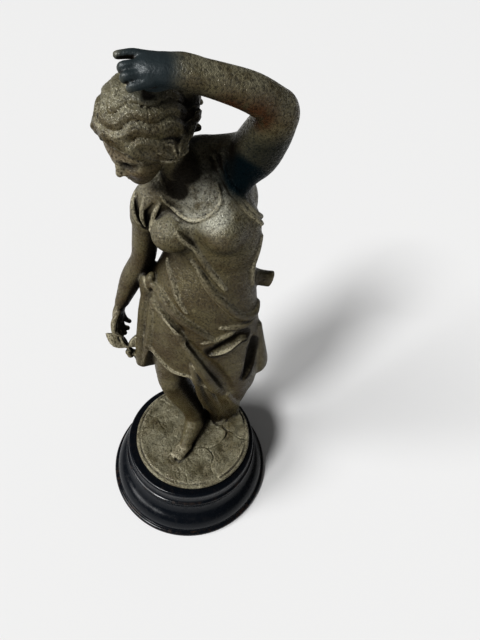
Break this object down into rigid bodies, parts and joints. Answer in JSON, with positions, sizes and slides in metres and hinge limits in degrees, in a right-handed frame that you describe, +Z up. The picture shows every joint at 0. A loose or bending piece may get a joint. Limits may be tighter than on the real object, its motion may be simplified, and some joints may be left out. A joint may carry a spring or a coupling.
{
  "type": "spelter maiden figurine",
  "caption": "Patinated spelter figure of a draped maiden with one forearm raised above the brow, standing on a ground disc and a turned ebonised socle.",
  "frame": {"origin": "on the surface the socle stands on, under the middle of the socle", "axes": "+Z up along the socle's turning axis; -Y is the figure's front; +X is the viewer's right, where the raised arm's elbow is"},
  "size_m": [0.14, 0.14, 0.3722],
  "materials": {
    "spelter": "patinated cast spelter, olive brown with grey-green bloom, worn lighter on the high folds",
    "ebonised_wood": "turned and ebonised, satin lacquer, edges rubbed to brown"
  },
  "bodies": {
    "root": {"maiden_figure": "spelter", "socle": "ebonised_wood"}
  },
  "joints": []
}
